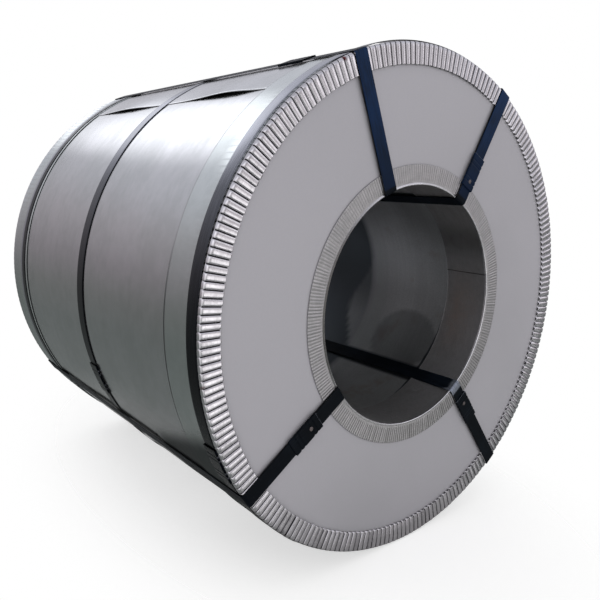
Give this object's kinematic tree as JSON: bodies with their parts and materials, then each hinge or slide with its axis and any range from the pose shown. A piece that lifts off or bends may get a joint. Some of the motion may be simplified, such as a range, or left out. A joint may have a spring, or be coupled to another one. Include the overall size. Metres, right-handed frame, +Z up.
{
  "type": "packaged steel coil",
  "caption": "Wound steel strip coil lying on its side, wrapped in galvanised sheet, with end discs, pleated edge guards round rim and eye, and steel hoop and eye straps with seals.",
  "frame": {"origin": "on the floor under the middle of the lying coil", "axes": "+Z up; Y along the coil's axis, with the front end of the picture towards -Y; +X to the right seen from the front"},
  "size_m": [1.0491, 1.0192, 1.0493],
  "materials": {
    "wound_strip": "bare cold rolled steel, satin",
    "wrap_sheet": "galvanised sheet, soft gloss",
    "end_disc": "matt grey",
    "edge_guard": "galvanised sheet, pleated",
    "strap": "dark navy strap paint",
    "strap_seal": "dark navy strap paint, bare at the crimped edges"
  },
  "bodies": {
    "root": {"coil": "wound_strip", "outer_wrap": "wrap_sheet", "end_disc_front": "end_disc", "end_disc_back": "end_disc", "outer_guard_front": "edge_guard", "outer_guard_back": "edge_guard", "inner_guard_front": "edge_guard", "inner_guard_back": "edge_guard", "hoop_front": "strap", "hoop_middle": "strap", "hoop_back": "strap", "eye_strap_upper_left": "strap", "eye_strap_upper_right": "strap", "eye_strap_lower_left": "strap", "eye_strap_lower_right": "strap", "seal_upper_left": "strap_seal", "seal_upper_right": "strap_seal", "seal_lower_left": "strap_seal", "seal_lower_right": "strap_seal", "seal_hoop_front": "strap_seal", "seal_hoop_middle": "strap_seal", "seal_hoop_back": "strap_seal"}
  },
  "joints": []
}
